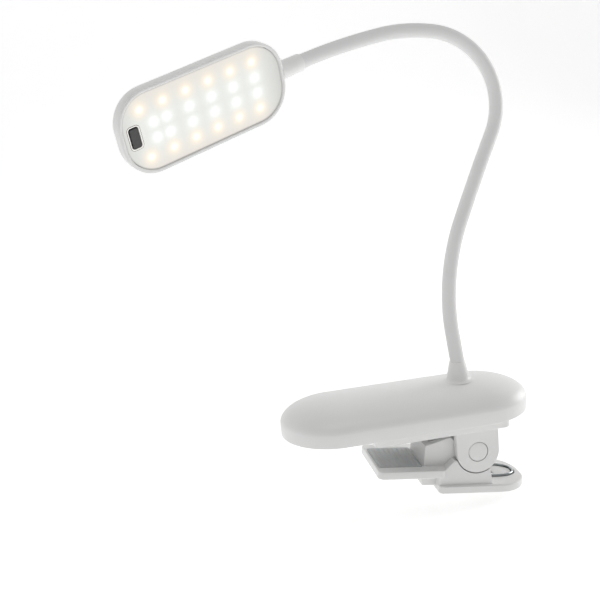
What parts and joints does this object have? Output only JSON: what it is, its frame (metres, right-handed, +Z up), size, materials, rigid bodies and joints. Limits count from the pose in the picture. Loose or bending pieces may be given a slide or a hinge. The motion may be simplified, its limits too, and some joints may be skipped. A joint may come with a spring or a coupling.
{
  "type": "clip-on reading lamp",
  "caption": "Cordless reading lamp: a rounded flat light head on a bendable gooseneck, standing on a low rounded base with a sprung clip beneath it for a tabletop or board edge.",
  "frame": {"origin": "middle of the upper grip pad, on its downward face, where the lamp rests on a board", "axes": "+Z up, away from the board; +X along the base from the pad towards the gooseneck and the clip's handle; -Y the front"},
  "size_m": [0.2452, 0.0872, 0.2941],
  "materials": {
    "white_shell": "satin",
    "sleeve": "matte silicone",
    "diffuser": "frosted",
    "button": "matte",
    "grip": "matte",
    "steel": "bright",
    "circuit_board": "satin",
    "light_board": "white solder mask",
    "cell_wrap": "satin wrap",
    "lead": "satin"
  },
  "bodies": {
    "base": {"base_collar": "white_shell", "base_cover": "white_shell", "base_floor": "white_shell", "battery_cell": "cell_wrap", "bracket_screw_1": "steel", "bracket_screw_2": "steel", "bracket_screw_3": "steel", "bracket_screw_4": "steel", "cell_lead": "lead", "charge_board": "circuit_board", "clip_bracket": "white_shell", "floor_screw_1": "steel", "floor_screw_2": "steel", "floor_screw_3": "steel", "floor_screw_4": "steel", "neck_lead": "lead", "neck_nut": "steel", "neck_sleeve_1": "sleeve", "neck_spine_1": "steel", "pin_cap_back": "white_shell", "pin_cap_front": "white_shell", "pivot_pin": "steel", "spring_coil_back": "steel", "spring_coil_front": "steel", "upper_pad": "grip", "usb_socket": "steel"},
    "neck_2": {"neck_sleeve_2": "sleeve", "neck_spine_2": "steel"},
    "neck_3": {"neck_sleeve_3": "sleeve", "neck_spine_3": "steel"},
    "neck_4": {"neck_sleeve_4": "sleeve", "neck_spine_4": "steel"},
    "neck_5": {"neck_sleeve_5": "sleeve", "neck_spine_5": "steel"},
    "neck_6": {"neck_sleeve_6": "sleeve", "neck_spine_6": "steel"},
    "neck_7": {"neck_sleeve_7": "sleeve", "neck_spine_7": "steel"},
    "neck_8": {"neck_sleeve_8": "sleeve", "neck_spine_8": "steel"},
    "head": {"diffuser": "diffuser", "head_collar": "white_shell", "head_lead": "lead", "head_nut": "steel", "head_shell": "white_shell", "led_board": "light_board", "light_frame": "white_shell", "neck_sleeve_9": "sleeve", "neck_spine_9": "steel", "tact_switch": "button"},
    "button": {"button_cap": "button"},
    "jaw": {"jaw_lever": "white_shell", "lower_pad": "grip", "spring_bail": "steel"}
  },
  "joints": [
    {"name": "neck_low_bend", "type": "hinge", "parent": "base", "child": "neck_2", "pos_m": [0.04273, 0.00374, 0.07735], "axis": [-0.0117, 0.9865, -0.1635], "range_deg": [-12, 12]},
    {"name": "neck_side_bend", "type": "hinge", "parent": "neck_2", "child": "neck_3", "pos_m": [0.05049, 0.01124, 0.11208], "axis": [-0.9331, 0, 0.3597], "range_deg": [-12, 12]},
    {"name": "neck_low_follow", "type": "hinge", "parent": "neck_3", "child": "neck_4", "pos_m": [0.0665, 0.02122, 0.14299], "axis": [-0.1412, 0.9588, -0.2464], "range_deg": [-12, 12]},
    {"name": "neck_high_bend", "type": "hinge", "parent": "neck_4", "child": "neck_5", "pos_m": [0.08429, 0.03158, 0.17312], "axis": [-0.1477, 0.9588, -0.2426], "range_deg": [-6, 20]},
    {"name": "neck_side_follow_1", "type": "hinge", "parent": "neck_5", "child": "neck_6", "pos_m": [0.09212, 0.04067, 0.20666], "axis": [-0.9856, 0, -0.1688], "range_deg": [-12, 12]},
    {"name": "neck_high_follow_1", "type": "hinge", "parent": "neck_6", "child": "neck_7", "pos_m": [0.07299, 0.04648, 0.23602], "axis": [0.0946, 0.9935, -0.0633], "range_deg": [-6, 20]},
    {"name": "neck_high_follow_2", "type": "hinge", "parent": "neck_7", "child": "neck_8", "pos_m": [0.0384, 0.0487, 0.24468], "axis": [-0.0042, 1, 0.0001], "range_deg": [-6, 20]},
    {"name": "neck_side_follow_2", "type": "hinge", "parent": "neck_8", "child": "head", "pos_m": [0.0024, 0.04576, 0.24025], "axis": [0.193, 0, -0.9812], "range_deg": [-12, 12]},
    {"name": "jaw_hinge", "type": "hinge", "parent": "base", "child": "jaw", "pos_m": [0.0482, 0, -0.0135], "axis": [0, 1, 0], "range_deg": [-25, 12], "stiffness_Nm_per_rad": 1.2},
    {"name": "button_press", "type": "slide", "parent": "head", "child": "button", "axis": [-0.4062, 0.8761, 0.2597], "range_m": [0, 0.0005], "stiffness_N_per_m": 2000}
  ],
  "couplings": [
    {"joint": "neck_low_follow", "follows": "neck_low_bend", "ratio": 1},
    {"joint": "neck_side_follow_1", "follows": "neck_side_bend", "ratio": 1},
    {"joint": "neck_side_follow_2", "follows": "neck_side_bend", "ratio": 1},
    {"joint": "neck_high_follow_1", "follows": "neck_high_bend", "ratio": 1},
    {"joint": "neck_high_follow_2", "follows": "neck_high_bend", "ratio": 1}
  ]
}
